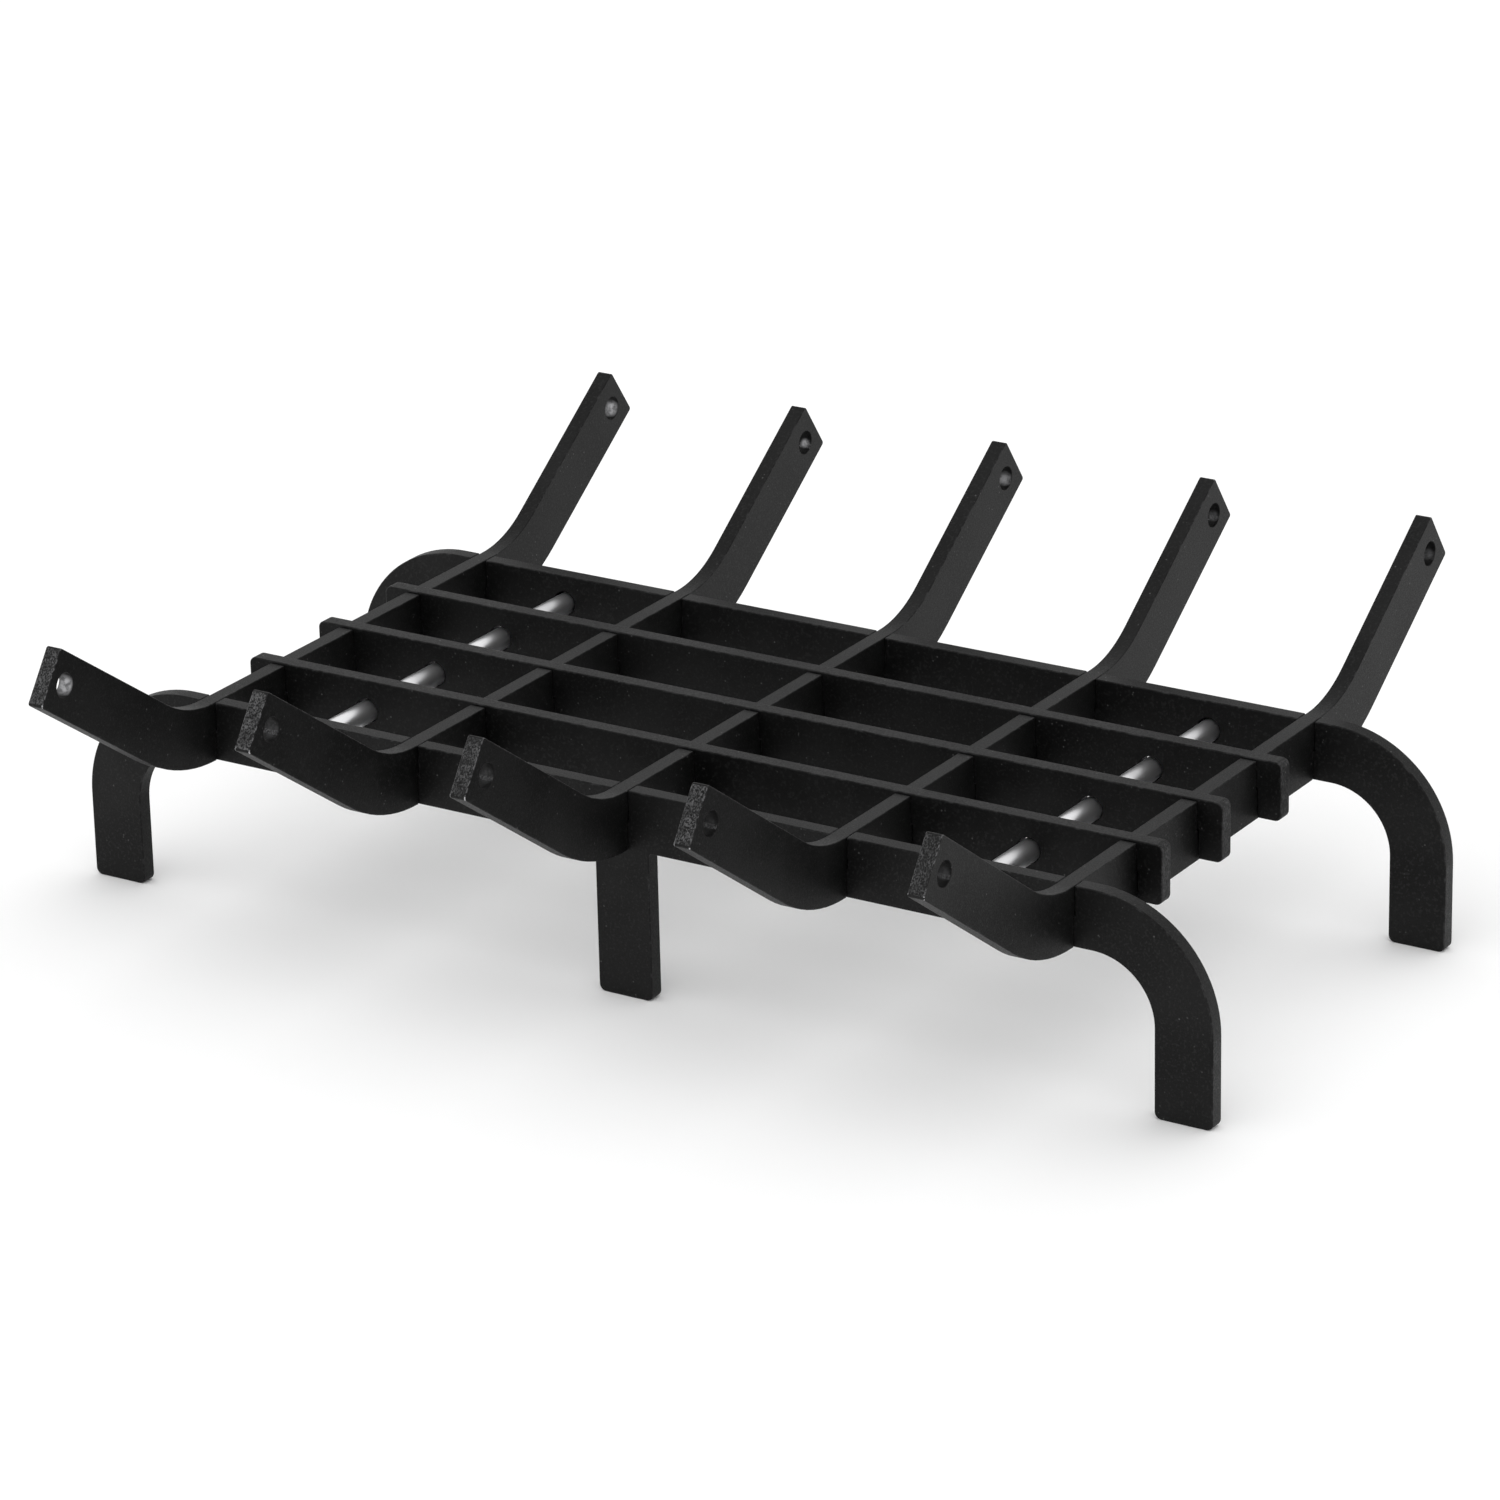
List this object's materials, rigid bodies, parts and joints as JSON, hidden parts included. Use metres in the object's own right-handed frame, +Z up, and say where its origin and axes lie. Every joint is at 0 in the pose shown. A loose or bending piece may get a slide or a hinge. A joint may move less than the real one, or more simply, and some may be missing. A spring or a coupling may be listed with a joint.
{
  "type": "fireplace log grate",
  "caption": "Black steel log grate: interlocking plate bars on bent legs, with upswept prongs front and rear and two bright tie rods through the grid.",
  "frame": {"origin": "on the hearth, under the middle of the grid", "axes": "+X along the rails, +Y from the front leg rail to the rear leg rail, +Z up from the feet"},
  "size_m": [0.715, 0.5746, 0.1944],
  "materials": {
    "black_powder_coat": "matte, finely grained, rubbed lighter on edges",
    "bright_steel": "polished round bar with fine turning marks",
    "zinc_plated_steel": "satin zinc plate"
  },
  "bodies": {
    "root": {"front_leg_rail": "black_powder_coat", "front_mid_rail": "black_powder_coat", "centre_mid_rail": "black_powder_coat", "rear_mid_rail": "black_powder_coat", "rear_leg_rail": "black_powder_coat", "log_bar_1": "black_powder_coat", "log_bar_2": "black_powder_coat", "log_bar_3": "black_powder_coat", "log_bar_4": "black_powder_coat", "log_bar_5": "black_powder_coat", "left_tie_rod": "bright_steel", "left_front_washer": "zinc_plated_steel", "left_front_nut": "zinc_plated_steel", "left_rear_washer": "zinc_plated_steel", "left_rear_nut": "zinc_plated_steel", "right_tie_rod": "bright_steel", "right_front_washer": "zinc_plated_steel", "right_front_nut": "zinc_plated_steel", "right_rear_washer": "zinc_plated_steel", "right_rear_nut": "zinc_plated_steel"}
  },
  "joints": []
}
